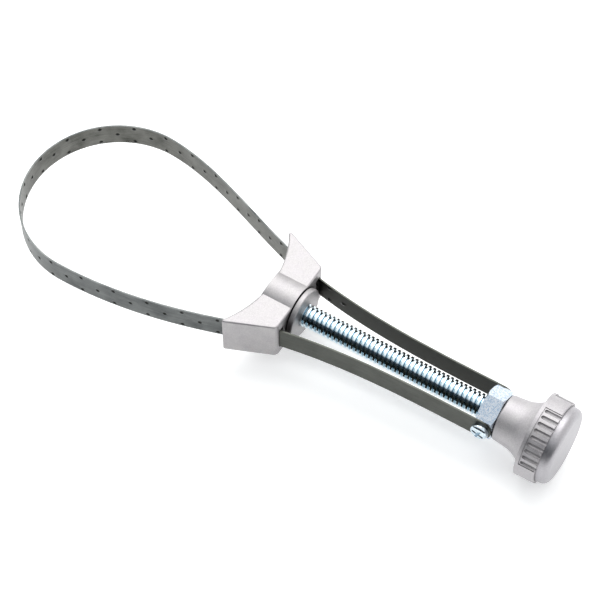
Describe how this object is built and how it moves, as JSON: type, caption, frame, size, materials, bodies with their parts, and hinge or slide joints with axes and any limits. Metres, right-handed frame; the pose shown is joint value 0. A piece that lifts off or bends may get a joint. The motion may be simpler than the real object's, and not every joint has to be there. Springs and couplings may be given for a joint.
{
  "type": "oil filter wrench",
  "caption": "Band-type oil filter wrench: a steel band loop runs through a cast saddle to a nut on a knob-turned screw, which opens and closes the loop.",
  "frame": {"origin": "centre of the round end of the band loop, on the filter axis, at half the band width", "axes": "+X parallel to the screw and towards the knob, +Z along the filter axis, +Y completes the frame (left when the knob points forward). The loop leans 2.5 degrees to the left, so the screw axis is at y = -5.1 mm"},
  "size_m": [0.3164, 0.0988, 0.0438],
  "materials": {
    "cast_aluminium": "die-cast, fine blasted grain, satin",
    "turned_aluminium": "turned and polished to a soft satin",
    "zinc_steel": "bright zinc plated, bluish",
    "spring_steel": "oiled spring steel",
    "band_steel": "cold-rolled spring steel, grey, lightly oiled"
  },
  "bodies": {
    "saddle": {"saddle": "cast_aluminium", "band_guide_left": "band_steel", "band_guide_right": "band_steel", "band_strand_left": "band_steel", "band_strand_right": "band_steel", "band_side_left": "band_steel", "band_side_right": "band_steel"},
    "spindle": {"spindle": "zinc_steel", "thrust_collar": "cast_aluminium", "front_washer": "zinc_steel", "retaining_clip": "spring_steel", "knob": "cast_aluminium", "knob_washer": "zinc_steel", "knob_lock_nut": "zinc_steel", "knob_cap": "turned_aluminium"},
    "nut": {"travelling_nut": "zinc_steel", "band_end_left": "band_steel", "band_end_right": "band_steel", "band_screws": "zinc_steel"},
    "loop_end": {"band_round_end": "band_steel"}
  },
  "joints": [
    {"name": "spindle_turn", "type": "hinge", "parent": "saddle", "child": "spindle", "pos_m": [0.11689, -0.0051, 0], "axis": [1, 0, 0], "range_deg": [0, 12960]},
    {"name": "nut_slide", "type": "slide", "parent": "saddle", "child": "nut", "axis": [-1, 0, 0], "range_m": [0, 0.09], "deforming": ["band_strand_left", "band_strand_right"]},
    {"name": "loop_slide", "type": "slide", "parent": "saddle", "child": "loop_end", "axis": [-1, 0, 0], "range_m": [0, 0.09], "deforming": ["band_side_left", "band_side_right"]}
  ],
  "couplings": [
    {"joint": "nut_slide", "follows": "spindle_turn", "m_per_rad": 0.00039789},
    {"joint": "loop_slide", "follows": "spindle_turn", "m_per_rad": 0.00039789}
  ]
}
